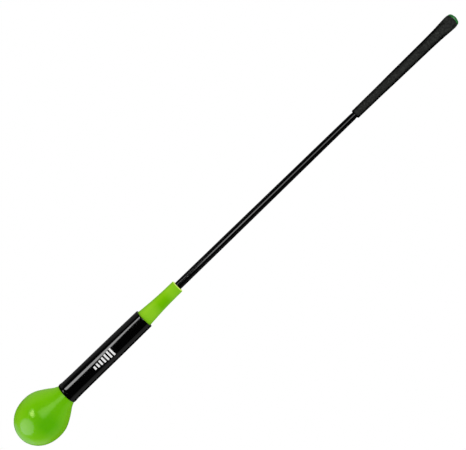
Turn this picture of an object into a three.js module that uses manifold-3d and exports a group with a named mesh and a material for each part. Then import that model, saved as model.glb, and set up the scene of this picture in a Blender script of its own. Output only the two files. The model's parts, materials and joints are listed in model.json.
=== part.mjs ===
// Swing trainer stick: a weighted, soft teardrop head on a flexible tapered shaft
// with a golf grip. All sizes are in millimetres. The stick stands upright: z = 0 is
// the pole of the head, +Z runs along the shaft to the butt end of the grip.
import * as THREE from "three";
import { mergeVertices } from "three/addons/utils/BufferGeometryUtils.js";
import Module from "manifold-3d";

// ---------------------------------------------------------------- driving dimensions
const TOTAL_L = 1160; // pole of the head to the end of the grip cap
const GAP = 0.3; // fit clearance between neighbouring pieces

// facets around the axis
const SEG_HEAD = 48;
const SEG_BODY = 40;
const SEG_SHAFT = 32;
const SEG_SMALL = 24;

// head
const HEAD_R = 49.9; // widest radius of the teardrop
const HEAD_POLE = 56; // axial half-axis of its lower half, so also the height of its widest point
const HEAD_TOP_Z = 119.9; // shoulder on which the sleeve sits
const SHELL_WALL = 5;
const STEM_R = 16.7; // stem of the head shell, inside the sleeve
const STEM_BORE_R = 12;
const STEM_TOP_Z = 150;

// weight at the tip of the shaft
const WEIGHT_R = 15;
const WEIGHT_Z0 = 30;
const WEIGHT_Z1 = 80;
const WEIGHT_FLOOR = 4.3;
const WEIGHT_CHAMFER = 2;

// screw and washer under the weight, stacked downwards from it
const SCREW_R = 2.1;
const SCREW_L = 28;
const SCREW_HOLE_R = SCREW_R + 0.5; // in the weight and the washer
const SCREW_HEAD_R = 5;
const SCREW_HEAD_H = 4.5;
const SCREW_HEAD_CHAMFER = 0.5;
const SOCKET_R = 2.3; // hexagon, across its corners
const SOCKET_DEPTH = 2.5;
const WASHER_R = 7.5;
const WASHER_T = 2.2;
const WASHER_Z1 = WEIGHT_Z0 - GAP;
const WASHER_Z0 = WASHER_Z1 - WASHER_T;

// sleeve, and the bush, spacer and neck inside it
const SLEEVE_BORE_R = 17.1;
const SLEEVE_Z1 = 328.9;
const BUSH_TOP_Z = STEM_TOP_Z + 4;
const SPACER_WAIST_R = 11.5;
const SPACER_Z0 = BUSH_TOP_Z + GAP;
const SPACER_Z1 = 262;
const NECK_PLUG_R = 16.7;
const NECK_TOP_Z = 418.5;

// grip
const GRIP_MOUTH_Z = 892;
const GRIP_RIM_Z = 1151.4; // where the rubber ends and the cap starts
const GRIP_BORE_R = 6.85;
const TAPE_R0 = 6.47;
const TAPE_R1 = 6.77;
const CAP_FLAT_R = 3.8;
const VENT_R = 0.9;

// shaft: a tapered tube, thick end in the head
const SHAFT_TIP_Z = WEIGHT_Z0 + WEIGHT_FLOOR + GAP;
const SHAFT_BUTT_Z = 1138;
const SHAFT_R_HEAD = 7.4;
const SHAFT_R_GRIP = 6.3;
const SHAFT_BORE_R = 4.6;
const SHAFT_FIT_R = SHAFT_R_HEAD + GAP; // bore of the pieces around its thick end
const SHAFT_HINGES = 8; // bending points, which share out the length between the two below
const BEND_Z0 = 416;
const BEND_Z1 = GRIP_MOUTH_Z;
const HINGE_GAP = 0.3; // between two shaft lengths, on the axis
const HINGE_CONE_DEG = 6.4; // each hinged end falls away by this much, so that it can tilt

// plug in the butt end of the shaft
const PLUG_L = 20; // part below the end of the shaft
const PLUG_TOP_Z = SHAFT_BUTT_Z + 2;
const PLUG_R = SHAFT_BORE_R - GAP;
const PLUG_FLANGE_R = 6.05;

// ---------------------------------------------------------------- materials
const LIME = 0x6fbf10;
const BLACK = 0x0b0b0c;
const MATERIALS = {
  shell: { color: LIME, roughness: 0.28 },
  neck: { color: LIME, roughness: 0.35 },
  foam: { color: 0xd9d6c8, roughness: 0.9 },
  iron: { color: 0x3c3d40, roughness: 0.6, metalness: 0.9 },
  washer: { color: 0xb9bcc0, roughness: 0.35, metalness: 1 },
  screw: { color: 0x9a9da2, roughness: 0.35, metalness: 1 },
  brass: { color: 0xc9a24a, roughness: 0.4, metalness: 1 },
  spacer: { color: 0x2a2a2c, roughness: 0.5 },
  sleeve: { color: BLACK, roughness: 0.12 },
  shaft: { color: BLACK, roughness: 0.3 },
  tape: { color: 0xe6e1d4, roughness: 0.8 },
  rubber: { color: 0x26272a, roughness: 0.75 },
  plug: { color: 0x1b1b1d, roughness: 0.6 },
  cap: { color: 0x1c7a2c, roughness: 0.45 },
};

// ---------------------------------------------------------------- outlines, [radius, z]
// Outside of the teardrop from above its widest point to the shoulder.
const HEAD_UPPER = [
  [49.3, 65], [47.7, 73.2], [45.0, 80.7], [41.9, 86.5], [38.4, 92.2], [34.6, 98.0],
  [30.3, 103.7], [27.0, 108.0], [24.6, 112.4], [22.7, 116.2], [21.3, HEAD_TOP_Z],
];

// Inside of the shell from the bore of the stem down to its widest point.
const SHELL_INNER_UPPER = [
  [STEM_BORE_R, 116], [16.4, 111.6], [23.6, 104.2], [31.6, 94.0],
  [37.6, 84.6], [42.2, 74.0], [44.4, 64.0],
];

// Outside of the foam from above its widest point to its top.
const FOAM_TOP_Z = 112;
const FOAM_UPPER = [
  [44.0, 64.0], [41.8, 73.7], [37.2, 84.2], [31.2, 93.6],
  [23.2, 103.8], [16.0, 111.2], [15.2, FOAM_TOP_Z],
];

// Outside of the sleeve, upwards.
const SLEEVE_OUTER = [
  [21.3, HEAD_TOP_Z + GAP], [22.0, HEAD_TOP_Z + 1.5], [22.3, 124.5], [22.1, 129.0],
  [21.6, 138.0], [21.1, 150.0], [20.9, 162.0], [20.75, 215.0], [20.45, 277.0],
  [20.1, 308.0], [19.9, 324.5], [19.5, 327.4], [18.7, SLEEVE_Z1],
];

// Outside of the neck above its plug, upwards.
const NECK_OUTER = [
  [NECK_PLUG_R, 324.0], [16.5, 330.5], [15.8, 340.5], [15.0, 349.0], [14.35, 358.0],
  [13.75, 368.0], [13.25, 379.0], [12.95, 391.0], [12.8, 405.0], [12.7, 414.7],
  [12.35, 416.9], [11.6, NECK_TOP_Z],
];

// Outside of the grip, upwards.
const GRIP_OUTER = [
  [8.45, GRIP_MOUTH_Z], [8.75, GRIP_MOUTH_Z + 0.8], [8.8, GRIP_MOUTH_Z + 6],
  [9.0, 919], [9.15, 950], [9.55, 974], [10.1, 996], [10.35, 1020], [10.6, 1048],
  [10.9, 1078], [11.35, 1096], [11.7, 1110], [12.4, 1124], [13.0, 1133], [13.5, 1140],
  [13.6, 1144], [13.5, 1147.5], [13.15, 1150], [12.65, GRIP_RIM_Z],
];

// Dome of the cap, upwards: [radius, height above the rim of the grip].
const CAP_DOME = [
  [12.45, GAP], [12.1, 1.8], [11.2, 3.5], [9.6, 5.3], [7.5, 6.9], [5.6, 7.9],
];

// ---------------------------------------------------------------- helpers
const wasm = await Module();
wasm.setup();

// Turned part: profile is a list of [radius, z] pairs that starts and ends on the
// axis, or is closed here into a ring. The outer side runs upwards.
function turned(profile, segments) {
  const points = profile.map(([radius, z]) => new THREE.Vector2(radius, z));
  const first = points[0];
  if (first.x > 0 || points.at(-1).x > 0) points.push(first.clone());
  return new THREE.LatheGeometry(points, segments).rotateX(Math.PI / 2);
}

function tube(innerR, outerR, z0, z1, segments) {
  return turned([[innerR, z0], [outerR, z0], [outerR, z1], [innerR, z1]], segments);
}

function toSolid(geometry) {
  // Only positions are kept, so that vertices along the seams merge.
  const bare = new THREE.BufferGeometry();
  bare.setAttribute("position", geometry.getAttribute("position"));
  bare.setIndex(geometry.index);
  const merged = mergeVertices(bare, 1e-3);
  return new wasm.Manifold(
    new wasm.Mesh({
      numProp: 3,
      vertProperties: merged.attributes.position.array,
      triVerts: new Uint32Array(merged.index.array),
    }),
  );
}

function toGeometry(solid) {
  const { vertProperties, triVerts } = solid.getMesh();
  const geometry = new THREE.BufferGeometry();
  geometry.setAttribute("position", new THREE.BufferAttribute(vertProperties, 3));
  geometry.setIndex(new THREE.BufferAttribute(triVerts, 1));
  geometry.computeVertexNormals();
  return geometry;
}

function add(parent, name, geometry, material) {
  const mesh = new THREE.Mesh(geometry, new THREE.MeshStandardMaterial(material));
  mesh.name = name;
  parent.add(mesh);
}

// ---------------------------------------------------------------- head
// Lower half of the teardrop, inset from its outside, from the pole up to the widest
// point. It is slightly fuller than an ellipse, whose fullness would be 2.
function eggHalf(inset, steps) {
  const FULLNESS = 2.08;
  const power = 2 / FULLNESS;
  const points = [];
  for (let i = 0; i <= steps; i++) {
    const angle = (i / steps) * (Math.PI / 2);
    const drop = i === steps ? 0 : Math.cos(angle) ** power;
    points.push([
      (HEAD_R - inset) * Math.sin(angle) ** power,
      HEAD_POLE - (HEAD_POLE - inset) * drop,
    ]);
  }
  return points;
}

function headShell() {
  return turned(
    [
      ...eggHalf(0, 9),
      ...HEAD_UPPER,
      [STEM_R, HEAD_TOP_Z],
      [STEM_R, STEM_TOP_Z],
      [STEM_BORE_R, STEM_TOP_Z],
      ...SHELL_INNER_UPPER,
      ...eggHalf(SHELL_WALL, 7).reverse(),
    ],
    SEG_HEAD,
  );
}

// Foam that fills the shell around the weight. Its top is open around the shaft.
function foamCore() {
  const pocketR = WASHER_R + 0.8; // around the washer and the head of the screw
  const pocketZ = 21.4;
  return turned(
    [
      ...eggHalf(SHELL_WALL + GAP, 7),
      ...FOAM_UPPER,
      [SHAFT_FIT_R, FOAM_TOP_Z],
      [SHAFT_FIT_R, WEIGHT_Z1 + GAP],
      [WEIGHT_R + GAP, WEIGHT_Z1 + GAP],
      [WEIGHT_R + GAP, WEIGHT_Z0 - GAP],
      [pocketR, WEIGHT_Z0 - GAP],
      [pocketR, pocketZ],
      [0, pocketZ],
    ],
    SEG_SMALL,
  );
}

// Iron weight: a cup that sits over the tip of the shaft.
function weight() {
  return turned(
    [
      [SCREW_HOLE_R, WEIGHT_Z0],
      [WEIGHT_R - WEIGHT_CHAMFER, WEIGHT_Z0],
      [WEIGHT_R, WEIGHT_Z0 + WEIGHT_CHAMFER],
      [WEIGHT_R, WEIGHT_Z1 - WEIGHT_CHAMFER],
      [WEIGHT_R - WEIGHT_CHAMFER, WEIGHT_Z1],
      [SHAFT_FIT_R, WEIGHT_Z1],
      [SHAFT_FIT_R, WEIGHT_Z0 + WEIGHT_FLOOR],
      [SCREW_HOLE_R, WEIGHT_Z0 + WEIGHT_FLOOR],
    ],
    SEG_SHAFT,
  );
}

// Socket-head screw, pointing up into the insert in the shaft.
function screw() {
  const headZ1 = WASHER_Z0 - GAP;
  const headZ0 = headZ1 - SCREW_HEAD_H;
  const body = turned(
    [
      [0, headZ0],
      [SCREW_HEAD_R - SCREW_HEAD_CHAMFER, headZ0],
      [SCREW_HEAD_R, headZ0 + SCREW_HEAD_CHAMFER],
      [SCREW_HEAD_R, headZ1],
      [SCREW_R, headZ1],
      [SCREW_R, headZ1 + SCREW_L - 1],
      [SCREW_R - 0.8, headZ1 + SCREW_L],
      [0, headZ1 + SCREW_L],
    ],
    SEG_SMALL,
  );
  // Centred on the underside of the head, so half of its length cuts.
  const socket = new THREE.CylinderGeometry(SOCKET_R, SOCKET_R, 2 * SOCKET_DEPTH, 6);
  socket.rotateX(Math.PI / 2).translate(0, 0, headZ0);
  return toGeometry(toSolid(body).subtract(toSolid(socket)));
}

// Threadless sleeve for the screw, in the hollow tip of the shaft.
function tipInsert() {
  const length = 26;
  const outerR = SHAFT_BORE_R - GAP;
  return tube(SCREW_R + 0.3, outerR, SHAFT_TIP_Z, SHAFT_TIP_Z + length, SEG_SMALL);
}

// Flanged bush that centres the stem of the shell on the shaft.
function stemBush() {
  return turned(
    [
      [SHAFT_FIT_R, HEAD_TOP_Z - 4.5],
      [STEM_BORE_R - GAP, HEAD_TOP_Z - 0.5],
      [STEM_BORE_R - GAP, STEM_TOP_Z + GAP],
      [STEM_R, STEM_TOP_Z + GAP],
      [STEM_R, BUSH_TOP_Z],
      [SHAFT_FIT_R, BUSH_TOP_Z],
    ],
    SEG_SMALL,
  );
}

// ---------------------------------------------------------------- sleeve and neck
function sleeve() {
  return turned(
    [[SLEEVE_BORE_R, HEAD_TOP_Z + GAP], ...SLEEVE_OUTER, [SLEEVE_BORE_R, SLEEVE_Z1]],
    SEG_BODY,
  );
}

// Spool that holds the sleeve concentric between the head and the neck.
function sleeveSpacer() {
  const rimH = 8;
  const waistOffset = 12; // from each end to the waist
  return turned(
    [
      [SHAFT_FIT_R, SPACER_Z0],
      [STEM_R, SPACER_Z0],
      [STEM_R, SPACER_Z0 + rimH],
      [SPACER_WAIST_R, SPACER_Z0 + waistOffset],
      [SPACER_WAIST_R, SPACER_Z1 - waistOffset],
      [STEM_R, SPACER_Z1 - rimH],
      [STEM_R, SPACER_Z1],
      [SHAFT_FIT_R, SPACER_Z1],
    ],
    SEG_SMALL,
  );
}

function neck() {
  return turned(
    [
      [SHAFT_FIT_R, SPACER_Z1 + GAP],
      [NECK_PLUG_R, SPACER_Z1 + GAP],
      ...NECK_OUTER,
      [SHAFT_FIT_R + 0.2, NECK_TOP_Z],
      [SHAFT_FIT_R, NECK_TOP_Z - 0.6],
    ],
    SEG_BODY,
  );
}

// ---------------------------------------------------------------- shaft
// Outside radius of the shaft at a height: it tapers between the neck and the grip.
function shaftR(z) {
  const along = (z - NECK_TOP_Z) / (GRIP_MOUTH_Z - NECK_TOP_Z);
  return THREE.MathUtils.lerp(SHAFT_R_HEAD, SHAFT_R_GRIP, THREE.MathUtils.clamp(along, 0, 1));
}

// One length of the tube. A hinged end is a shallow cone; taperEnds are the heights
// within the length at which the taper starts or stops.
function shaftLength(z0, z1, { hingeBelow = true, hingeAbove = true, taperEnds = [] } = {}) {
  const slope = Math.tan(THREE.MathUtils.degToRad(HINGE_CONE_DEG));
  const setback = (radius) => HINGE_GAP / 2 + radius * slope;
  const low = (radius) => [radius, z0 + (hingeBelow ? setback(radius) : 0)];
  const high = (radius) => [radius, z1 - (hingeAbove ? setback(radius) : 0)];
  return turned(
    [
      low(SHAFT_BORE_R),
      low(shaftR(z0)),
      ...taperEnds.map((z) => [shaftR(z), z]),
      high(shaftR(z1)),
      high(SHAFT_BORE_R),
    ],
    SEG_SHAFT,
  );
}

// ---------------------------------------------------------------- grip
function gripTape() {
  return tube(TAPE_R0, TAPE_R1, GRIP_MOUTH_Z + 4, SHAFT_BUTT_Z - 2, SEG_SHAFT);
}

function grip() {
  return turned(
    [[GRIP_BORE_R, GRIP_MOUTH_Z], ...GRIP_OUTER, [GRIP_BORE_R, GRIP_RIM_Z]],
    SEG_SHAFT,
  );
}

// Plug that closes the butt end of the tube.
function buttPlug() {
  const z0 = SHAFT_BUTT_Z - PLUG_L;
  return turned(
    [
      [0, z0],
      [PLUG_R - 0.6, z0],
      [PLUG_R, z0 + 1],
      [PLUG_R, SHAFT_BUTT_Z + GAP],
      [PLUG_FLANGE_R, SHAFT_BUTT_Z + GAP],
      [PLUG_FLANGE_R, PLUG_TOP_Z],
      [0, PLUG_TOP_Z],
    ],
    SEG_SMALL,
  );
}

// Domed cap with a stem in the bore of the grip and a vent through its middle.
function gripCap() {
  const stemR = GRIP_BORE_R - GAP;
  return turned(
    [
      [VENT_R, PLUG_TOP_Z + GAP],
      [stemR, PLUG_TOP_Z + GAP],
      [stemR, GRIP_RIM_Z + GAP],
      ...CAP_DOME.map(([radius, height]) => [radius, GRIP_RIM_Z + height]),
      [CAP_FLAT_R, TOTAL_L],
      [VENT_R, TOTAL_L],
    ],
    SEG_SHAFT,
  );
}

// ---------------------------------------------------------------- assembly
const hingePitch = (BEND_Z1 - BEND_Z0) / SHAFT_HINGES;
const hingeZ = Array.from({ length: SHAFT_HINGES }, (_, k) => BEND_Z0 + hingePitch * (k + 0.5));

function buildHead() {
  const head = new THREE.Group();
  const washer = tube(SCREW_HOLE_R, WASHER_R, WASHER_Z0, WASHER_Z1, SEG_SMALL);
  const shaft = shaftLength(SHAFT_TIP_Z, hingeZ[0], {
    hingeBelow: false,
    taperEnds: [NECK_TOP_Z],
  });
  add(head, "head_shell", headShell(), MATERIALS.shell);
  add(head, "head_foam_core", foamCore(), MATERIALS.foam);
  add(head, "head_weight", weight(), MATERIALS.iron);
  add(head, "weight_washer", washer, MATERIALS.washer);
  add(head, "weight_screw", screw(), MATERIALS.screw);
  add(head, "shaft_tip_insert", tipInsert(), MATERIALS.brass);
  add(head, "stem_bush", stemBush(), MATERIALS.spacer);
  add(head, "sleeve", sleeve(), MATERIALS.sleeve);
  add(head, "sleeve_spacer", sleeveSpacer(), MATERIALS.spacer);
  add(head, "neck", neck(), MATERIALS.neck);
  add(head, "shaft_1", shaft, MATERIALS.shaft);
  return head;
}

// Shaft length between bending points k - 1 and k.
function buildLink(k) {
  const link = new THREE.Group();
  add(link, `shaft_${k + 1}`, shaftLength(hingeZ[k - 1], hingeZ[k]), MATERIALS.shaft);
  return link;
}

function buildHandle() {
  const handle = new THREE.Group();
  const shaft = shaftLength(hingeZ.at(-1), SHAFT_BUTT_Z, {
    hingeAbove: false,
    taperEnds: [GRIP_MOUTH_Z],
  });
  add(handle, `shaft_${SHAFT_HINGES + 1}`, shaft, MATERIALS.shaft);
  add(handle, "grip_tape", gripTape(), MATERIALS.tape);
  add(handle, "grip", grip(), MATERIALS.rubber);
  add(handle, "shaft_butt_plug", buttPlug(), MATERIALS.plug);
  add(handle, "grip_cap", gripCap(), MATERIALS.cap);
  return handle;
}

const stick = new THREE.Group();
stick.add(buildHead());
for (let k = 1; k < SHAFT_HINGES; k++) stick.add(buildLink(k));
stick.add(buildHandle());

export default stick;
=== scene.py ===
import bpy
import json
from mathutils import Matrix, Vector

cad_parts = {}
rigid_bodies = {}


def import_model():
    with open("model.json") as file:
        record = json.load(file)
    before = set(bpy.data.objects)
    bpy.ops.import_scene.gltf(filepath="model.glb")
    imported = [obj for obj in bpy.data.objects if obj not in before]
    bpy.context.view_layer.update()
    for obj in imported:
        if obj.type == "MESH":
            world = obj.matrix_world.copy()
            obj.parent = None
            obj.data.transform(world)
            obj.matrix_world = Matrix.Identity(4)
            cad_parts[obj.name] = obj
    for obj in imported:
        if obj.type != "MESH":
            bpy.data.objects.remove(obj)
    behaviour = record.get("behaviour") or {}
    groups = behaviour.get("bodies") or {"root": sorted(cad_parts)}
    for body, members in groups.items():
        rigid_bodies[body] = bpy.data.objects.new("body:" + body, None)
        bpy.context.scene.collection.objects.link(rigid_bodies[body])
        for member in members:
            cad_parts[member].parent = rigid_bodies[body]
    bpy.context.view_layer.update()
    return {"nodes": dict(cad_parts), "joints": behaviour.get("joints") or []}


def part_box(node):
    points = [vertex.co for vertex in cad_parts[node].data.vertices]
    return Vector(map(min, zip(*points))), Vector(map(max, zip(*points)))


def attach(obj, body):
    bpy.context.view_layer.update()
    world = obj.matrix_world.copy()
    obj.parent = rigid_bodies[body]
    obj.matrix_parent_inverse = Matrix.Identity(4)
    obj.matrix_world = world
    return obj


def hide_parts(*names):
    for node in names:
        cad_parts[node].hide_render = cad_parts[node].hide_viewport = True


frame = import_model()

import json
import math

import bpy
import numpy as np
from mathutils import Matrix, Vector

MM = 0.001
scene = bpy.context.scene


# ------------------------------------------------------------------ node helpers
class Nodes:
    """Builds a node tree. An input takes a number, a tuple or the output of another node."""

    def __init__(self, tree):
        self.tree = tree

    def feed(self, socket, value):
        if isinstance(value, bpy.types.NodeSocket):
            self.tree.links.new(value, socket)
        elif socket.type == "RGBA":
            socket.default_value = (*value, 1)
        else:
            socket.default_value = value

    def node(self, kind, inputs=None, **props):
        n = self.tree.nodes.new(kind)
        for key, value in props.items():
            setattr(n, key, value)
        for key, value in (inputs or {}).items():
            self.feed(n.inputs[key], value)
        return n

    def math(self, operation, *values):
        return self.node("ShaderNodeMath", dict(enumerate(values)), operation=operation).outputs[0]

    def remap(self, value, src, to=(0.0, 1.0), kind="LINEAR"):
        """Carries the range src over to the range to, clamped."""
        inputs = dict(enumerate((value, *src, *to)))
        n = self.node("ShaderNodeMapRange", inputs, clamp=True, interpolation_type=kind)
        return n.outputs[0]


class Mat(Nodes):
    """A procedural material in object coordinates, in metres."""

    def __init__(self, name):
        self.material = bpy.data.materials.new(name)
        self.material.use_nodes = True
        super().__init__(self.material.node_tree)
        self.place = self.node("ShaderNodeTexCoord").outputs["Object"]

    def noise(self, scale, detail=3.0, rough=0.5, stretch=None):
        """stretch scales the coordinates: below 1 draws the noise out along that axis."""
        place = self.place
        if stretch:
            mapping = self.node("ShaderNodeMapping", {"Scale": stretch, "Vector": place})
            place = mapping.outputs["Vector"]
        inputs = {"Scale": scale, "Detail": detail, "Roughness": rough, "Vector": place}
        return self.node("ShaderNodeTexNoise", inputs).outputs["Fac"]

    def cells(self, scale, feature="F1"):
        inputs = {"Scale": scale, "Vector": self.place}
        return self.node("ShaderNodeTexVoronoi", inputs, feature=feature).outputs["Distance"]

    def xyz(self):
        return self.node("ShaderNodeSeparateXYZ", {0: self.place}).outputs

    def facing(self):
        """0 where the surface is seen square on, 1 at its outline."""
        return self.node("ShaderNodeLayerWeight", {"Blend": 0.5}).outputs["Facing"]

    def ramp(self, value, stops):
        n = self.node("ShaderNodeValToRGB", {0: value})
        elements = n.color_ramp.elements
        for element, (position, colour) in zip(elements, (stops[0], stops[-1])):
            element.position = position
            element.color = (*colour, 1)
        for position, colour in stops[1:-1]:
            elements.new(position).color = (*colour, 1)
        return n.outputs[0]

    def mix(self, share, a, b):
        """Colour a, with the given share of colour b."""
        return self.node("ShaderNodeMix", {0: share, 6: a, 7: b}, data_type="RGBA").outputs[2]

    def bump(self, height, distance, strength, under=None):
        inputs = {"Strength": strength, "Distance": distance, "Height": height}
        if under is not None:
            inputs["Normal"] = under
        return self.node("ShaderNodeBump", inputs).outputs["Normal"]

    def finish(self, **values):
        shader = self.tree.nodes["Principled BSDF"]
        for key, value in values.items():
            self.feed(shader.inputs[key.replace("_", " ")], value)
        return self.material


# ------------------------------------------------------------------ materials
def lime_vinyl(name, radius, across, haze, along, edge, rough, spec, peel, painted_edge_highlight=None):
    """Soft lime vinyl, with painted light in its colour. across: colours from the +X side to the -X
    side, over +-radius (m): painted shading, paler towards -X, the side the light falls on.
    along: (z in m, share of haze) pairs, where haze is a paler colour painted on as a sheen. Scuffs,
    slow drift and orange peel on top; the skin takes the edge colour at a low angle, a painted rim
    sheen. The last argument gives (z0, z1, colour) of a painted highlight along an edge."""
    m = Mat(name)
    slow = m.noise(scale=13, detail=2)
    fine = m.noise(scale=150, rough=0.6)
    scuff = m.noise(scale=420, detail=4, rough=0.6, stretch=(1, 1, 0.3))
    place = m.xyz()
    drift = m.remap(slow, src=(0.3, 0.7), to=(-0.04, 0.04))
    # painted shading: the colour runs paler towards -X, the side the light falls on
    side = m.math("ADD", m.remap(place["X"], src=(-radius, radius), to=(1.0, 0.0)), drift)
    col = m.ramp(side, across)
    z0, z1 = along[0][0], along[-1][0]
    stops = [((z - z0) / (z1 - z0), (f, f, f)) for z, f in along]
    # painted sheen: the paler haze colour, mixed in by the along shares up the piece
    col = m.mix(m.ramp(m.remap(place["Z"], src=(z0, z1)), stops), col, haze)
    face = m.facing()
    # painted rim sheen: the edge colour towards the outline, where the skin is seen at a low angle
    col = m.mix(m.remap(face, src=(0.18, 0.72), to=(0.0, 0.85)), col, edge)
    speck = tuple(0.8 * c for c in across[0][1])
    col = m.mix(m.remap(fine, src=(0.45, 0.75), to=(0.0, 0.08)), col, speck)
    # painted highlight: a pale band along an edge, over the given z range
    if painted_edge_highlight:
        col = m.mix(m.remap(place["Z"], src=painted_edge_highlight[:2]), col, painted_edge_highlight[2])
    scuffed = m.remap(scuff, src=(0.4, 0.75), to=rough)
    wavy = m.bump(m.noise(scale=26, detail=2), distance=0.0006, strength=0.10)
    orange_peel = m.noise(scale=520, detail=2)
    return m.finish(
        Base_Color=col,
        Roughness=m.math("ADD", scuffed, m.remap(slow, src=(0.3, 0.7), to=(-0.015, 0.02))),
        Normal=m.bump(orange_peel, distance=0.00006, strength=peel, under=wavy),
        Specular_Tint=(0.98, 1.0, 0.40),
        Specular_IOR_Level=m.remap(face, src=(0.55, 0.85), to=(spec, 0.12 * spec)),
        IOR=1.5,
    )


def gloss_black(name):
    """Polished black plastic with hairline scratches and a little dust haze."""
    m = Mat(name)
    hair = m.noise(scale=420, detail=4, rough=0.6, stretch=(1, 1, 0.03))
    cloud = m.noise(scale=26)
    dark, light = (0.0003, 0.0003, 0.00032), (0.0009, 0.0009, 0.00095)
    scratches = m.remap(hair, src=(0.45, 0.8), to=(0.07, 0.13))
    dust = m.remap(cloud, src=(0.35, 0.7), to=(0.0, 0.03))
    return m.finish(
        Base_Color=m.mix(m.remap(cloud, src=(0.3, 0.7)), dark, light),
        Roughness=m.math("ADD", scratches, dust),
        Normal=m.bump(m.noise(scale=18, detail=2), distance=0.0006, strength=0.05),
        IOR=1.5,
    )


def satin_black(name):
    """Painted glass-fibre tube: satin black over fine lengthwise sanding."""
    m = Mat(name)
    grain = m.noise(scale=600, detail=4, rough=0.6, stretch=(1, 1, 0.02))
    cloud = m.noise(scale=25)
    dark, light = (0.0006, 0.0006, 0.00062), (0.0014, 0.0014, 0.00145)
    sanding = m.remap(grain, src=(0.3, 0.8), to=(0.08, 0.14))
    # duller towards the grip and on its sides
    spec = m.remap(m.xyz()["Z"], src=(0.58, 0.74), to=(0.5, 0.27))
    sides = m.remap(m.facing(), src=(0.06, 0.24), to=(1.0, 0.35))
    return m.finish(
        Base_Color=m.mix(m.remap(grain, src=(0.4, 0.75)), dark, light),
        Roughness=m.math("ADD", sanding, m.remap(cloud, src=(0.3, 0.7), to=(-0.02, 0.03))),
        Normal=m.bump(grain, distance=0.00002, strength=0.3),
        Specular_IOR_Level=m.math("MULTIPLY", spec, sides),
    )


def grip_rubber(name):
    """Charcoal rubber, mottled with mineral dust on its high spots, with a sandy skin and painted
    shade that darkens it towards the outline, where it is seen at a low angle."""
    m = Mat(name)
    speck = m.cells(scale=1100)
    mottle = m.noise(scale=230, detail=4, rough=0.7)
    slow = m.noise(scale=60)
    dark, light = (0.0050, 0.0056, 0.0048), (0.0330, 0.0350, 0.0315)
    col = m.mix(m.remap(mottle, src=(0.38, 0.64)), dark, light)
    col = m.mix(m.remap(slow, src=(0.38, 0.62), to=(0, 0.40)), col, (0.0125, 0.013, 0.012))
    col = m.mix(m.remap(speck, src=(0.0, 0.30), to=(0.30, 0.0)), col, (0.05, 0.051, 0.049))
    face = m.facing()
    # the butt end gets none of the painted shade and keeps its grey to the edge
    butt = m.remap(m.xyz()["Z"], src=(1.114, 1.136), to=(1.0, 0.12))
    # painted shade: the colour goes near black towards the outline
    shade = m.math("MULTIPLY", m.remap(face, src=(0.14, 0.30), to=(0.0, 0.94)), butt)
    return m.finish(
        Base_Color=m.mix(shade, col, (0.0008, 0.0008, 0.0008)),
        Roughness=m.remap(mottle, src=(0.3, 0.7), to=(0.62, 0.8)),
        Normal=m.bump(m.noise(scale=1500, rough=0.7), distance=0.00010, strength=0.6),
        Specular_IOR_Level=m.remap(face, src=(0.12, 0.30), to=(0.10, 0.012)),
    )


def mottled(name, scale, src, dark, light, rough, skin_scale, skin_depth):
    """Moulded rubber or plastic: mottled between two colours, with a fine grained skin."""
    m = Mat(name)
    mottle = m.noise(scale=scale, detail=4, rough=0.6)
    skin = m.noise(scale=skin_scale, rough=0.6)
    return m.finish(
        Base_Color=m.mix(m.remap(mottle, src=src), dark, light),
        Roughness=m.remap(mottle, src=(0.3, 0.7), to=rough),
        Normal=m.bump(skin, distance=skin_depth, strength=0.5),
    )


def white_ink(name):
    """Screen-printed white with a slightly starved, uneven lay-down."""
    m = Mat(name)
    lay = m.noise(scale=1800, rough=0.6)
    return m.finish(
        Base_Color=m.mix(m.remap(lay, src=(0.35, 0.62)), (0.66, 0.66, 0.66), (0.90, 0.90, 0.89)),
        Roughness=m.remap(lay, src=(0.3, 0.7), to=(0.35, 0.5)),
        Normal=m.bump(lay, distance=0.00002, strength=0.5),
    )


def foam(name):
    """Cream foam with dark cell centres."""
    m = Mat(name)
    cell = m.cells(scale=900, feature="SMOOTH_F1")
    cloud = m.noise(scale=120)
    col = m.mix(m.remap(cloud, src=(0.3, 0.7)), (0.62, 0.56, 0.42), (0.80, 0.76, 0.64))
    col = m.mix(m.remap(cell, src=(0.0, 0.5), to=(0.35, 0.0)), col, (0.40, 0.35, 0.25))
    return m.finish(
        Base_Color=col, Roughness=0.92, Normal=m.bump(cell, distance=0.0004, strength=0.9)
    )


def metal(name, dark, light, rough, spin):
    """Turned or cast metal: ring marks, drawn out round the axis by a low spin, and fine pits."""
    m = Mat(name)
    rings = m.noise(scale=500, detail=4, rough=0.6, stretch=(spin, spin, 1.0))
    pits = m.noise(scale=900, detail=4, rough=0.6)
    return m.finish(
        Base_Color=m.mix(m.remap(rings, src=(0.3, 0.7)), dark, light),
        Metallic=1.0,
        Roughness=m.remap(pits, src=(0.3, 0.75), to=(rough, rough + 0.2)),
        Normal=m.bump(rings, distance=0.00004, strength=0.6),
    )


def paper_tape(name):
    m = Mat(name)
    crepe = m.noise(scale=600, detail=4, rough=0.6, stretch=(1, 1, 3.0))
    return m.finish(
        Base_Color=m.mix(m.remap(crepe, src=(0.35, 0.7)), (0.62, 0.55, 0.40), (0.78, 0.72, 0.58)),
        Roughness=0.8,
        Normal=m.bump(crepe, distance=0.0001, strength=0.7),
    )


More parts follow.
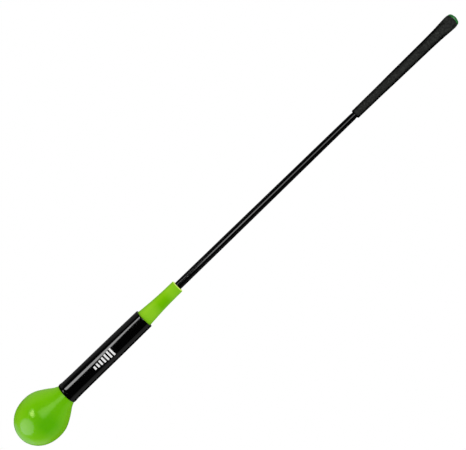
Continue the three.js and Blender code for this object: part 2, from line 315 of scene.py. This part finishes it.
MATS = {
    "bulb": lime_vinyl(
        "lime_vinyl_gloss",
        radius=0.05,
        # painted shading: paler towards -X, the side the light falls on
        across=[
            (0.0, (0.084, 0.402, 0.0001)), (0.40, (0.086, 0.408, 0.0001)),
            (0.55, (0.115, 0.450, 0.0001)), (0.70, (0.142, 0.492, 0.0001)),
            (0.85, (0.170, 0.530, 0.0004)), (1.0, (0.185, 0.540, 0.0008)),
        ],
        # painted sheen: this paler colour is mixed in by the along shares below
        haze=(0.212, 0.570, 0.0010),
        along=[
            (0.0, 0.52), (0.020, 0.50), (0.034, 0.42), (0.044, 0.28),
            (0.056, 0.03), (0.074, 0.04), (0.090, 0.26), (0.122, 0.36),
        ],
        # painted rim sheen at the outline
        edge=(0.185, 0.480, 0.009),
        rough=(0.15, 0.20),
        spec=0.42,
        peel=0.02,
    ),
    "neck": lime_vinyl(
        "lime_vinyl_satin",
        radius=0.0145,
        # painted shading: paler towards -X, the side the light falls on
        across=[
            (0.0, (0.120, 0.405, 0.002)), (0.25, (0.130, 0.425, 0.0015)),
            (0.5, (0.150, 0.468, 0.0015)), (0.8, (0.215, 0.530, 0.005)),
            (1.0, (0.225, 0.520, 0.008)),
        ],
        # painted sheen and reflections: this paler colour is mixed in by the along shares below
        haze=(0.310, 0.610, 0.030),
        along=[
            (0.326, 0.30), (0.340, 0.55), (0.352, 0.55), (0.362, 0.30), (0.370, 0.0),
            (0.386, 0.0), (0.400, 0.45), (0.412, 0.35), (0.420, 0.35),
        ],
        # painted rim sheen at the outline
        edge=(0.170, 0.410, 0.024),
        rough=(0.36, 0.48),
        spec=0.0,
        peel=0.03,
        # painted highlight along the neck's top edge
        painted_edge_highlight=(0.4167, 0.4177, (0.62, 0.80, 0.16)),
    ),
    "sleeve": gloss_black("sleeve_gloss_black"),
    "shaft": satin_black("shaft_satin_black"),
    "grip": grip_rubber("grip_charcoal_rubber"),
    "cap": mottled(
        "cap_green_rubber", scale=260, src=(0.35, 0.7), dark=(0.002, 0.130, 0.010),
        light=(0.006, 0.230, 0.030), rough=(0.36, 0.5), skin_scale=2400, skin_depth=0.0001,
    ),
    "ink": white_ink("print_white_ink"),
    "foam": foam("core_foam"),
    "iron": metal(
        "weight_cast_iron", dark=(0.045, 0.045, 0.048), light=(0.10, 0.10, 0.10), rough=0.5, spin=0.3
    ),
    "steel": metal(
        "screw_steel", dark=(0.42, 0.43, 0.45), light=(0.62, 0.62, 0.63), rough=0.22, spin=0.05
    ),
    "brass": metal(
        "insert_brass", dark=(0.50, 0.33, 0.09), light=(0.68, 0.47, 0.16), rough=0.25, spin=0.05
    ),
    "plastic": mottled(
        "bush_black_plastic", scale=420, src=(0.3, 0.7), dark=(0.014, 0.014, 0.015),
        light=(0.03, 0.03, 0.031), rough=(0.42, 0.6), skin_scale=2200, skin_depth=0.00008,
    ),
    "tape": paper_tape("grip_tape_paper"),
}


# ------------------------------------------------------------------ mesh helpers
def make_object(name, verts, faces, material, sharp_deg=32):
    me = bpy.data.meshes.new(name)
    me.from_pydata(verts, [], faces)
    me.validate()
    me.update()
    for p in me.polygons:
        p.use_smooth = True
    me.set_sharp_from_angle(angle=math.radians(sharp_deg))
    me.materials.append(material)
    ob = bpy.data.objects.new(name, me)
    scene.collection.objects.link(ob)
    return ob


def revolve(name, profile, segments, material, shape=None, sharp_deg=32):
    """A turned body. profile is (r, z) in mm with its outer side running upwards: it starts
    and ends on the axis, or closes on itself. shape(angles, r, z, i) gives the radii round
    profile point i."""
    angles = np.arange(segments) * 2 * math.pi / segments
    verts, rows = [], []
    for i, (r, z) in enumerate(profile):
        if r < 1e-9:
            rows.append([len(verts)])
            verts.append((0.0, 0.0, z * MM))
            continue
        radii = shape(angles, r, z, i) if shape else r
        rows.append(list(range(len(verts), len(verts) + segments)))
        ring = zip(radii * np.cos(angles) * MM, radii * np.sin(angles) * MM)
        verts += [(x, y, z * MM) for x, y in ring]
    pairs = list(zip(rows, rows[1:]))
    if profile[0][0] > 0 or profile[-1][0] > 0:
        pairs.append((rows[-1], rows[0]))
    faces = []
    for a, b in pairs:
        for j in range(segments):
            k = (j + 1) % segments
            if len(a) == 1:
                faces.append((a[0], b[k], b[j]))
            elif len(b) == 1:
                faces.append((a[j], a[k], b[0]))
            else:
                faces.append((a[j], a[k], b[k], b[j]))
    return make_object(name, verts, faces, material, sharp_deg)


def fit(ob, link, node):
    """Rides the object on a link, in place of a CAD node."""
    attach(ob, link)
    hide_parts(node)


def smooth_curve(points, step):
    """Points of a Catmull-Rom curve through (r, z) points, about step apart."""
    p = np.array(points, float)
    ext = np.vstack([2 * p[0] - p[1], p, 2 * p[-1] - p[-2]])
    out = []
    for p0, p1, p2, p3 in zip(ext, ext[1:], ext[2:], ext[3:]):
        n = max(1, int(round(np.linalg.norm(p2 - p1) / step)))
        square = 2 * p0 - 5 * p1 + 4 * p2 - p3
        cube = 3 * p1 - p0 - 3 * p2 + p3
        for t in np.arange(n) / n:
            out.append(0.5 * (2 * p1 + (p2 - p0) * t + square * t**2 + cube * t**3))
    out.append(p[-1])
    return [tuple(q) for q in out]


def fillet(centre, radius, start, end, n=6):
    """Arc about centre, angles in degrees: 0 points outwards, 90 points up."""
    angles = [math.radians(start + (end - start) * i / n) for i in range(n + 1)]
    return [(centre[0] + radius * math.cos(a), centre[1] + radius * math.sin(a)) for a in angles]


# ------------------------------------------------------------------ frame positions (mm)
def top_z(node):
    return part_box(node)[1].z / MM


def low_z(node):
    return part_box(node)[0].z / MM


HINGES = sorted(frame["joints"], key=lambda joint: joint["pos_m"][2])
HINGE_Z = [joint["pos_m"][2] / MM for joint in HINGES]
PITCH = HINGE_Z[1] - HINGE_Z[0]
HEAD_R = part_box("head_shell")[1].x / MM
SHOULDER = low_z("sleeve") - 0.3
SLEEVE_TOP = top_z("sleeve")
NECK_LOW = low_z("neck")
NECK_TOP = top_z("neck")
MOUTH = low_z("grip")
RIM = top_z("grip")
GRIP_END = RIM + 0.6  # the rubber skin laps a little over the edge of the cap
CAP_LOW = low_z("grip_cap")
BUTT = top_z("grip_cap")
TIP = low_z("shaft_1")
SHAFT_END = top_z("shaft_9")

# ------------------------------------------------------------------ head
WIDEST_Z = 56.0
EXPONENT = 2 / 2.08  # a little fuller than an ellipse, which has 1
INNER_R = 44.9
INNER_POLE_Z = 5.0
DIMPLE_R = 3.6  # the bowl starts outside this radius

bowl = []
for i in range(1, 61):
    a = math.radians(i * 1.5)
    z = WIDEST_Z - WIDEST_Z * math.cos(a) ** EXPONENT
    bowl.append((HEAD_R * math.sin(a) ** EXPONENT, z))
# from the widest ring up to the shoulder (r, z)
upper = smooth_curve(
    [
        bowl[-1], (49.4, 64.5), (47.95, 72.1), (46.0, 78.0), (43.35, 83.8), (40.1, 89.3),
        (36.6, 95.0), (32.8, 100.7), (28.6, 106.4), (24.9, 112.0), (22.9, 116.2),
        (21.5, SHOULDER - 0.6), (21.0, SHOULDER + 0.7),
    ],
    step=1.1,
)[1:]
# the inside, from the shoulder through the stem down to the pole (r, z)
inner = [(16.7, SHOULDER + 0.7), (16.7, 150.0), (12.0, 150.0), (12.0, 116.0)]
inner += smooth_curve(
    [
        (12.0, 115.9), (16.4, 111.6), (23.6, 104.2), (31.6, 94.0), (37.6, 84.6),
        (42.2, 74.0), (44.4, 64.0), (INNER_R, WIDEST_Z),
    ],
    step=4.0,
)
for i in range(1, 15):
    a = math.radians(90 - 6 * i)
    inner.append((INNER_R * math.sin(a), WIDEST_Z - (WIDEST_Z - INNER_POLE_Z) * math.cos(a)))
inner.append((0.0, INNER_POLE_Z))
# gate mark at the pole: a shallow moulded dimple with a small nub
dimple = [(0.0, 0.55), (1.0, 0.55), (1.25, 0.75), (2.6, 0.75), (3.0, 0.35), (3.35, 0.14)]
bulb_outer = dimple + [p for p in bowl if p[0] > DIMPLE_R] + upper


def bulb_shape(angles, r, z, i):
    """A hair of waviness, and the parting line of a two-part mould."""
    if i >= len(bulb_outer) or r < 4 or z > SHOULDER - 3:
        return r
    wave = 0.05 * np.sin(3 * angles + 0.06 * z) + 0.03 * np.sin(5 * angles - 0.11 * z + 1.3)
    seam = 0.14 * np.exp(-((np.sin(angles) * r / 0.45) ** 2))
    fade = min(1.0, (r - 4) / 12)  # none at the pole
    return np.minimum(r + (wave + seam) * fade, HEAD_R + 0.35)


bulb = revolve("bulb_skin", bulb_outer + inner, 240, MATS["bulb"], bulb_shape)
fit(bulb, "head", "head_shell")

# ------------------------------------------------------------------ sleeve
SLEEVE_LOW = SHOULDER + 0.9
# outer side above the lower lip: (r, height above SLEEVE_LOW), then (r, z)
COLLAR = [
    (22.2, 1.6), (22.42, 2.7), (22.46, 3.8), (22.3, 5.2), (22.05, 6.4), (21.85, 7.8),
    (21.72, 10.0), (21.58, 15.0), (21.44, 21.5), (21.33, 30), (21.24, 43),
]
TUBE = [
    (21.12, 200), (20.98, 250), (20.82, 277), (20.6, 300), (20.42, 314),
    (20.32, SLEEVE_TOP - 3.0),
]
sleeve_profile = (
    [(17.3, SLEEVE_LOW), (19.0, SLEEVE_LOW)]
    + fillet((21.05, SLEEVE_LOW + 1.0), 1.0, -90, 0)
    + smooth_curve([(r, SLEEVE_LOW + h) for r, h in COLLAR] + TUBE, step=1.2)
    + fillet((19.42, SLEEVE_TOP - 0.9), 0.9, 0, 90)
    + [(17.9, SLEEVE_TOP), (17.5, SLEEVE_TOP - 0.35), (17.3, SLEEVE_TOP - 0.9)]
)
sleeve = revolve("sleeve_skin", sleeve_profile, 160, MATS["sleeve"])
fit(sleeve, "head", "sleeve")


def sleeve_r(z):
    radii, heights = zip(*[p for p in sleeve_profile if p[0] > 19.5])
    return float(np.interp(z, heights, radii))


# ------------------------------------------------------------------ printed bars on the sleeve
PRINT_DEG = -83.0  # faces the front, slightly to the right
N_BARS = 7
BAR_Z0, BAR_PITCH = 199.0, 7.4
BAR_HALF_LENGTH = 1.9  # along the sleeve
BAR_HALF_WIDTH, BAR_GROWTH = 3.6, 0.85  # of the lowest bar, and added by each one above
BAR_ROWS = 4
BAR_LIFTS = (0.07, -0.05)  # outer and inner face over the sleeve


def wrap(x, z, lift):
    r = sleeve_r(z) + lift
    a = math.radians(PRINT_DEG) + x / sleeve_r(z)
    return (r * math.cos(a) * MM, r * math.sin(a) * MM, z * MM)


def ink_bar(half_width, z, first):
    """A thin curved slab on the sleeve, with its faces counted from vertex first."""
    cols = int(2 * half_width / 0.5) + 1
    across = np.linspace(-half_width, half_width, cols)
    along = np.linspace(z - BAR_HALF_LENGTH, z + BAR_HALF_LENGTH, BAR_ROWS)
    verts = [wrap(x, zz, lift) for lift in BAR_LIFTS for zz in along for x in across]

    def vid(layer, i, j):
        return first + (layer * BAR_ROWS + i) * cols + j

    faces = []
    last_i, last_j = BAR_ROWS - 1, cols - 1
    for i in range(last_i):
        for j in range(last_j):
            faces.append((vid(0, i, j), vid(0, i, j + 1), vid(0, i + 1, j + 1), vid(0, i + 1, j)))
            faces.append((vid(1, i, j), vid(1, i + 1, j), vid(1, i + 1, j + 1), vid(1, i, j + 1)))
    for j in range(last_j):
        k = j + 1
        faces.append((vid(0, 0, j), vid(1, 0, j), vid(1, 0, k), vid(0, 0, k)))
        faces.append((vid(0, last_i, j), vid(0, last_i, k), vid(1, last_i, k), vid(1, last_i, j)))
    for i in range(last_i):
        k = i + 1
        faces.append((vid(0, i, 0), vid(0, k, 0), vid(1, k, 0), vid(1, i, 0)))
        faces.append((vid(0, i, last_j), vid(1, i, last_j), vid(1, k, last_j), vid(0, k, last_j)))
    return verts, faces


# a plain tempo scale: bars that widen towards the grip
verts, faces = [], []
for k in range(N_BARS):
    half_width = BAR_HALF_WIDTH + BAR_GROWTH * k
    bar_verts, bar_faces = ink_bar(half_width, BAR_Z0 + BAR_PITCH * k, len(verts))
    verts += bar_verts
    faces += bar_faces
ink = make_object("sleeve_print", verts, faces, MATS["ink"])
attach(ink, "head")

# ------------------------------------------------------------------ neck
NECK_BORE = 8.35
neck_curve = smooth_curve(
    [
        (17.05, 322.0), (17.05, 328.0), (16.95, 331.0), (16.5, 336.0), (16.05, 342.5),
        (15.5, 350.0), (14.9, 359.0), (14.3, 369.0), (13.85, 380.0), (13.5, 391.0),
        (13.35, 404.0), (13.25, NECK_TOP - 2.6),
    ],
    step=1.5,
)
neck_profile = (
    [(NECK_BORE, NECK_LOW), (16.75, NECK_LOW)]
    + neck_curve
    + fillet((11.3, NECK_TOP - 1.9), 1.9, 0, 90, n=8)
    + [(10.2, NECK_TOP), (9.3, NECK_TOP), (8.7, NECK_TOP - 0.1), (NECK_BORE, NECK_TOP - 0.5)]
)
neck = revolve("neck_skin", neck_profile, 160, MATS["neck"])
fit(neck, "head", "neck")

# ------------------------------------------------------------------ shaft: bends at each hinge
SHAFT_BORE = 4.6
SHAFT_STATIONS = [  # z, r
    (NECK_TOP - 40, 7.4), (NECK_TOP, 8.15), (540, 7.93), (745, 7.36),
    (MOUTH - 6, 6.98), (MOUTH, 6.30),
]
BALL_STEPS = 8


def shaft_r(z):
    return float(np.interp(z, *zip(*SHAFT_STATIONS)))


def shaft_profile(z0, z1, is_last):
    """A tube. All but the last end in a ball about the upper hinge, inside the next piece."""
    steps = max(2, int((z1 - z0) / (PITCH / 28)))
    stations = [float(z) for z in np.linspace(z0, z1, steps + 1)]
    if is_last:
        stations = sorted(set(stations) | {MOUTH})
    outer = [(shaft_r(z), z) for z in stations]
    end = z1
    if not is_last:
        ball = shaft_r(z1) - 0.02
        bore_angle = math.acos(SHAFT_BORE / ball)
        for i in range(1, BALL_STEPS):
            a = bore_angle * i / BALL_STEPS
            outer.append((ball * math.cos(a), z1 + ball * math.sin(a)))
        end = z1 + ball * math.sin(bore_angle)
    return [(SHAFT_BORE, z0)] + outer + [(SHAFT_BORE, end)]


shaft_skins = []
stops = [TIP] + HINGE_Z + [SHAFT_END]
# the piece above each hinge is that hinge's parent link
links = ["head"] + [joint["parent"] for joint in HINGES]
for k, (z0, z1, link) in enumerate(zip(stops, stops[1:], links), start=1):
    profile = shaft_profile(z0, z1, is_last=k == len(links))
    skin = revolve(f"shaft_skin_{k}", profile, 64, MATS["shaft"])
    fit(skin, link, f"shaft_{k}")
    shaft_skins.append(skin)

# ------------------------------------------------------------------ grip
# outer side (r, z), set out by GRIP_LIFT, which grows over the first millimetre
GRIP_LIFT = 0.35
GRIP_OUTLINE = [
    (8.6, MOUTH + 0.25), (8.95, MOUTH + 0.75), (9.05, MOUTH + 1.6), (9.08, MOUTH + 6),
    (9.15, 910), (9.28, 930), (9.4, 950), (9.7, 972), (10.2, 995), (10.5, 1018),
    (10.72, 1040), (10.95, 1062), (11.2, 1082), (11.55, 1097), (11.95, 1111),
    (12.55, 1123), (13.1, 1132), (13.55, 1139), (13.72, 1143.5), (13.7, 1147),
    (13.5, 1149.8), (13.2, 1151.3),
]
grip_outer = smooth_curve(
    [(r + GRIP_LIFT * min(1.0, z - MOUTH), z) for r, z in GRIP_OUTLINE] + [(13.15, GRIP_END)],
    step=0.52,
)
grip_foot = [(7.0, MOUTH), (8.1, MOUTH)]
TEXTURE_ZONES = ((MOUTH + 9, 1012.0), (1018.0, 1118.0))
GROOVE_STARTS, GROOVE_PITCH = 22, 6.6  # grooves round the grip, and mm up per groove
GROOVE_DEPTH, GROOVE_HALF = 0.30, 0.14  # depth in mm, half width as a share of the spacing
WINDOWS = ((958.0, 40.0), (1070.0, 36.0))  # middle z, half length
WINDOW_HALF_WIDTH = 3.4
RING_Z = (MOUTH + 8.0, 1013.2, 1016.8, 1119.2)


def slot_distance(across, along, half_width, half_length):
    """Signed distance in mm to a rounded slot, negative inside."""
    past = abs(along) - (half_length - half_width)
    return np.hypot(across, max(past, 0)) - half_width


def grip_shape(angles, r, z, i):
    if not len(grip_foot) <= i < len(grip_foot) + len(grip_outer):
        return r
    texture = 0.0  # fades in over 1.2 mm at each end of a zone
    for z0, z1 in TEXTURE_ZONES:
        texture = max(texture, min(1.0, max(0.0, min(z - z0, z1 - z) / 1.2)))
    # crossed diagonal grooves
    turn = angles * GROOVE_STARTS / (2 * math.pi)
    rising = np.abs(((turn + z / GROOVE_PITCH) % 1.0) - 0.5)
    falling = np.abs(((turn - z / GROOVE_PITCH) % 1.0) - 0.5)
    groove = np.clip(1 - np.minimum(rising, falling) / GROOVE_HALF, 0, 1)
    # smooth elongated windows, each with a moulded outline
    window = np.zeros_like(angles)
    outline = np.zeros_like(angles)
    for k in range(4):
        middle = math.radians(-118 + 90 * k)
        across = np.angle(np.exp(1j * (angles - middle))) * r
        for window_z, half_length in WINDOWS:
            s = slot_distance(across, z - window_z, WINDOW_HALF_WIDTH, half_length)
            window = np.maximum(window, np.clip(-s / 0.4 + 0.5, 0, 1))
            outline = np.maximum(outline, np.clip(1 - np.abs(s - 0.1) / 0.55, 0, 1))
    relief = -GROOVE_DEPTH * groove * texture * (1 - window)
    relief += (0.22 * outline - 0.10 * window) * texture
    # rings that close each textured zone
    for ring_z in RING_Z:
        relief -= 0.28 * max(0.0, 1 - abs(z - ring_z) / 0.75)
    return r + relief


grip_profile = grip_foot + grip_outer
grip_profile += [(12.0, GRIP_END), (11.0, RIM), (6.9, RIM), (6.9, MOUTH + 0.6)]
grip = revolve("grip_skin", grip_profile, 184, MATS["grip"], grip_shape, sharp_deg=60)
fit(grip, "handle", "grip")

# ------------------------------------------------------------------ cap
BRIM = GRIP_END + 0.12  # underside of the brim
DOME = [  # r, height above BRIM
    (13.0, 1.2), (12.8, 2.4), (12.2, 3.7), (11.0, 5.0), (9.5, 5.75), (8.0, 6.35), (6.5, 6.85),
]
cap_profile = (
    [(0.9, CAP_LOW), (6.2, CAP_LOW), (6.55, CAP_LOW + 0.4), (6.55, BRIM)]
    + [(11.0, BRIM), (12.8, BRIM + 0.1), (13.0, BRIM + 0.5)]
    + smooth_curve([(r, BRIM + h) for r, h in DOME], step=0.5)
    + [(6.2, BRIM + 6.90), (5.9, BRIM + 6.96), (5.4, BRIM + 7.3), (4.6, BUTT - 0.15)]
    + [(3.9, BUTT), (1.5, BUTT), (1.1, BUTT - 0.12), (0.9, BUTT - 0.5)]
)
cap = revolve("cap_skin", cap_profile, 96, MATS["cap"])
fit(cap, "handle", "grip_cap")

# ------------------------------------------------------------------ CAD nodes that stay
KEEP = {
    "head_foam_core": "foam",
    "head_weight": "iron",
    "weight_washer": "steel",
    "weight_screw": "steel",
    "shaft_tip_insert": "brass",
    "stem_bush": "plastic",
    "sleeve_spacer": "plastic",
    "grip_tape": "tape",
    "shaft_butt_plug": "plastic",
}
for node, key in KEEP.items():
    ob = frame["nodes"][node]
    if not ob.material_slots:
        ob.data.materials.append(None)
    for s in ob.material_slots:
        s.link = "OBJECT"
        s.material = MATS[key]

# ------------------------------------------------------------------ floor: white, lights nothing
FLOOR_HALF, FLOOR_Z = 30, -0.001
paint = bpy.data.materials.new("floor_pale")
paint.use_nodes = True
glow = Nodes(paint.node_tree)
glow.tree.nodes.remove(glow.tree.nodes["Principled BSDF"])
emission = glow.node("ShaderNodeEmission", {"Color": (1, 1, 1), "Strength": 1.0})
glow.feed(glow.tree.nodes["Material Output"].inputs[0], emission.outputs[0])
me = bpy.data.meshes.new("floor")
corners = [(x * FLOOR_HALF, y * FLOOR_HALF, FLOOR_Z) for x, y in ((-1, -1), (1, -1), (1, 1), (-1, 1))]
me.from_pydata(corners, [], [(0, 1, 2, 3)])
me.materials.append(paint)
floor = bpy.data.objects.new("floor", me)
scene.collection.objects.link(floor)
floor.visible_diffuse = False
floor.visible_glossy = False
floor.visible_transmission = False
floor.visible_shadow = False

# ------------------------------------------------------------------ world
world = bpy.data.worlds.new("studio")
scene.world = world
world.use_nodes = True
world.cycles.sampling_method = "NONE"
sky = Nodes(world.node_tree)
sky.tree.nodes.clear()
generated = sky.node("ShaderNodeTexCoord").outputs["Generated"]
ray = sky.node("ShaderNodeSeparateXYZ", {0: generated}).outputs
D2R = math.pi / 180
# azimuth in degrees from the camera's side, positive to +X, and elevation in degrees,
# measured from 3.8 degrees under the horizon
back = sky.math("MULTIPLY", ray["Y"], -1.0)
azimuth = sky.math("DIVIDE", sky.math("ARCTAN2", ray["X"], back), D2R)
elevation = sky.math("ADD", sky.math("DIVIDE", sky.math("ARCSINE", ray["Z"]), D2R), 3.8)
RISE, FALL = (0.0, 1.0), (1.0, 0.0)


def panel(radiance, *edges):
    """A soft-edged panel. Each edge is (angle, where, softness, RISE or FALL), in degrees."""
    inside = None
    for angle, where, soft, to in edges:
        src = (where - soft / 2, where + soft / 2)
        step = sky.remap(angle, src=src, to=to, kind="SMOOTHSTEP")
        inside = sky.math("MULTIPLY", inside, step) if inside else step
    return sky.math("MULTIPLY", inside, radiance)


# a panel on the left, standing a little askew: the bright line down the sleeve, and the
# small light in the left of the head
askew = sky.math("MULTIPLY", sky.math("ADD", azimuth, 40.0), 0.30)
askew = sky.math("ADD", elevation, askew)
white = panel(
    7.6,
    (azimuth, -52.5, 5.0, RISE),
    (azimuth, -28.0, 5.0, FALL),
    (elevation, -11.4, 3.4, RISE),
    (askew, -2.7, 2.2, FALL),
)
# inner edge of the left side panel: it leans in for the upper part of the sleeve
lean = sky.math("MAXIMUM", sky.math("ADD", elevation, 8.5), 0.0)
lean = sky.math("MULTIPLY", sky.math("MINIMUM", lean, 4.2), 4.3)
from_lean = sky.math("SUBTRACT", azimuth, sky.math("ADD", lean, -94.0))
PANELS = [
    # radiance, azimuth from, its far edge (angle, where), elevation from, to, the two softnesses
    (0.30, 68.0, (azimuth, 113.0), -22.0, 62.0, 14.0, 14.0),  # weak side panels
    (0.17, -200.0, (from_lean, 0.0), -13.0, 62.0, 12.0, 6.0),
    (0.13, -200.0, (azimuth, -84.0), 0.0, 70.0, 20.0, 14.0),
    (0.40, 88.0, (azimuth, 140.0), -66.0, -22.0, 18.0, 10.0),  # low right, for the head's rim
    (0.25, 100.0, (azimuth, 210.0), -80.0, -30.0, 26.0, 16.0),  # low behind
    (0.25, -210.0, (azimuth, -150.0), -80.0, -30.0, 30.0, 16.0),
]
for radiance, az0, far_edge, el0, el1, soft_az, soft_el in PANELS:
    light = panel(
        radiance,
        (azimuth, az0, soft_az, RISE),
        (*far_edge, soft_az, FALL),
        (elevation, el0, soft_el, RISE),
        (elevation, el1, soft_el, FALL),
    )
    white = sky.math("ADD", white, light)
white = sky.math("ADD", white, 0.008)  # a trace of light from everywhere

# what matt surfaces see: an even white tent, brighter overhead and below
overhead = sky.math("MULTIPLY", sky.math("MAXIMUM", ray["Z"], 0.0), 0.70)
below = sky.math("MAXIMUM", sky.math("MULTIPLY", ray["Z"], -1.0), 0.0)
tent = sky.math("ADD", overhead, 0.71)
tent = sky.math("ADD", tent, sky.math("MULTIPLY", below, 0.90))


def background(strength):
    inputs = {0: (1, 1, 1), 1: strength}
    return sky.node("ShaderNodeBackground", inputs).outputs[0]


def choose(flag, off, on):
    return sky.node("ShaderNodeMixShader", {0: flag, 1: off, 2: on}).outputs[0]


# the panels light only what is seen directly: no caustics from one piece onto another
path = sky.node("ShaderNodeLightPath").outputs
no_diffuse = sky.math("SUBTRACT", 1.0, sky.math("MINIMUM", path["Diffuse Depth"], 1.0))
direct = sky.math("MULTIPLY", path["Is Glossy Ray"], no_diffuse)
shade = choose(direct, background(tent), background(white))
shade = choose(path["Is Camera Ray"], shade, background(1.0))
sky.node("ShaderNodeOutputWorld", {0: shade})


# ------------------------------------------------------------------ lights
def softbox(name, centre, target, size, radiance, only, colour=(1, 1, 1), shape="RECTANGLE"):
    """A soft light of size (width, height) that falls only on the objects in only."""
    li = bpy.data.lights.new(name, "AREA")
    li.shape = shape
    li.size, li.size_y = size
    li.energy = 4 * size[0] * size[1] * radiance
    li.color = colour
    ob = bpy.data.objects.new(name, li)
    scene.collection.objects.link(ob)
    aim = (Vector(target) - Vector(centre)).to_track_quat("-Z", "Y")
    ob.matrix_world = Matrix.Translation(centre) @ aim.to_matrix().to_4x4()
    ob.visible_diffuse = False
    ob.visible_camera = False
    receivers = bpy.data.collections.new(name + "_on")
    for receiver in only:
        receivers.objects.link(receiver)
    ob.light_linking.receiver_collection = receivers


# a tall panel high in front, a little to the left: the line along the shaft
softbox(
    "tall_panel", centre=(-0.27, -1.82, 2.05), target=(0, 0, 2.05), size=(0.96, 3.33),
    radiance=3.3, only=[sleeve, ink, neck, grip, cap] + shaft_skins,
)
# the head sees such a panel through a diffuser: cooler and without a hard edge
for i, (width, radiance) in enumerate(((1.42, 1.10), (1.00, 1.75), (0.62, 2.50))):
    softbox(
        f"tall_panel_head_{i}", centre=(-0.37, -1.81, 2.02), target=(0, 0, 2.02),
        size=(width, 3.46 - 0.08 * i), radiance=radiance, only=[bulb], colour=(0.88, 1.0, 1.22),
    )
# cool light on the head from low in front, brightest in the middle, and a faint one low behind
HEAD_AIM = (0, 0, 0.05)
LOW_DISTANCE = 1.9
LOW_LIGHTS = [  # azimuth, elevation and half angle in degrees, radiance
    (-23.0, -55.0, 30.0, 0.9), (-23.0, -55.0, 23.0, 1.4), (-23.0, -55.0, 16.0, 1.6),
    (-23.0, -55.0, 9.0, 1.7), (180.0, -67.0, 28.0, 0.12),
]
for i, (az_deg, el_deg, half_deg, radiance) in enumerate(LOW_LIGHTS):
    az, el = math.radians(az_deg), math.radians(el_deg)
    x = LOW_DISTANCE * math.sin(az) * math.cos(el)
    y = -LOW_DISTANCE * math.cos(az) * math.cos(el)
    width = 2 * LOW_DISTANCE * math.tan(math.radians(half_deg))
    softbox(
        f"low_light_{i}", centre=(x, y, HEAD_AIM[2] + LOW_DISTANCE * math.sin(el)),
        target=HEAD_AIM, size=(width, width), radiance=radiance, only=[bulb],
        colour=(1.35, 1.05, 3.0), shape="ELLIPSE",
    )
# spill from the askew panel on the left
softbox(
    "key_spill_head", centre=(-1.42, -1.25, -0.17), target=HEAD_AIM, size=(0.84, 0.48),
    radiance=1.35, only=[bulb], colour=(0.95, 1.0, 1.2), shape="ELLIPSE",
)

# ------------------------------------------------------------------ camera
TILT = 44.07  # the stick's angle above the picture's horizontal, in degrees
cam_data = bpy.data.cameras.new("camera")
cam_data.sensor_fit = "HORIZONTAL"
cam_data.sensor_width = 36.0
cam_data.lens = 76.414249
cam = bpy.data.objects.new("camera", cam_data)
scene.collection.objects.link(cam)
cam.matrix_world = (
    Matrix.Translation((-0.0106, -1.9, 0.5762))
    @ Matrix.Rotation(math.radians(90), 4, "X")
    @ Matrix.Rotation(math.radians(90 - TILT), 4, "Z")
)
cam_data.clip_start, cam_data.clip_end = 0.05, 100
scene.camera = cam

scene.view_settings.view_transform = "Standard"
scene.view_settings.look = "None"

bpy.context.view_layer.update()
